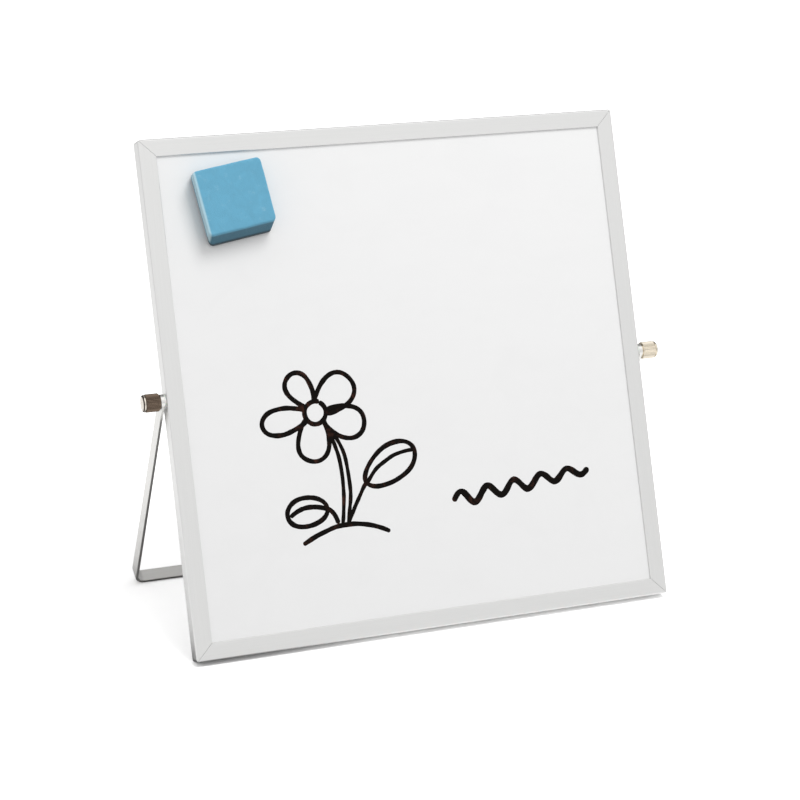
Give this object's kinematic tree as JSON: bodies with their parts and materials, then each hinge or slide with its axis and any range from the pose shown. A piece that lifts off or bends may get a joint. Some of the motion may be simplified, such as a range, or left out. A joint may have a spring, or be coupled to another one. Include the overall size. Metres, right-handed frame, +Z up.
{
  "type": "desk whiteboard easel",
  "caption": "Square two-sided magnetic whiteboard in a mitred metal frame, leaning on a U-shaped bar that turns on two knurled thumb screws, with a small foam eraser.",
  "frame": {"origin": "middle of the footprint, on the surface that the easel stands on", "axes": "+X to the user's right along the pivot, +Y to the back where the stand is, +Z up"},
  "size_m": [0.2776, 0.1142, 0.2394],
  "materials": {
    "frame_aluminium": "satin anodised, fine lengthwise grain",
    "key_steel": "zinc-plated, plain",
    "board_enamel": "glossy white dry-wipe coating on steel",
    "core_board": "raw",
    "insert_steel": "zinc-plated",
    "stand_steel": "satin nickel plate",
    "washer_nylon": "matt, milky",
    "knob_nickel": "bright nickel plate over brass, straight knurl",
    "stud_steel": "plain",
    "eraser_foam": "matt closed-cell foam, blue",
    "magnet_rubber": "matt",
    "eraser_felt": "pressed felt"
  },
  "bodies": {
    "board": {"frame_top_rail": "frame_aluminium", "frame_bottom_rail": "frame_aluminium", "frame_left_rail": "frame_aluminium", "frame_right_rail": "frame_aluminium", "corner_key_top_left": "key_steel", "corner_key_top_right": "key_steel", "corner_key_bottom_left": "key_steel", "corner_key_bottom_right": "key_steel", "front_sheet": "board_enamel", "back_sheet": "board_enamel", "core_panel": "core_board", "left_insert": "insert_steel", "right_insert": "insert_steel"},
    "stand": {"stand_bar": "stand_steel", "left_washer": "washer_nylon", "right_washer": "washer_nylon"},
    "left_screw": {"left_knob": "knob_nickel", "left_stud": "stud_steel"},
    "right_screw": {"right_knob": "knob_nickel", "right_stud": "stud_steel"},
    "eraser": {"eraser_foam": "eraser_foam", "eraser_magnet": "magnet_rubber", "eraser_felt": "eraser_felt"}
  },
  "joints": [
    {"name": "stand_swing", "type": "hinge", "parent": "board", "child": "stand", "pos_m": [0, -0.00705, 0.11972], "axis": [1, 0, 0], "continuous": true},
    {"name": "left_screw_turn", "type": "hinge", "parent": "board", "child": "left_screw", "pos_m": [-0.1296, -0.00705, 0.11972], "axis": [-1, 0, 0], "range_deg": [0, 720]},
    {"name": "right_screw_turn", "type": "hinge", "parent": "board", "child": "right_screw", "pos_m": [0.1296, -0.00705, 0.11972], "axis": [1, 0, 0], "range_deg": [0, 720]},
    {"name": "eraser_slide", "type": "slide", "parent": "board", "child": "eraser", "axis": [1, 0, 0], "range_m": [-0.014, 0.182]}
  ]
}
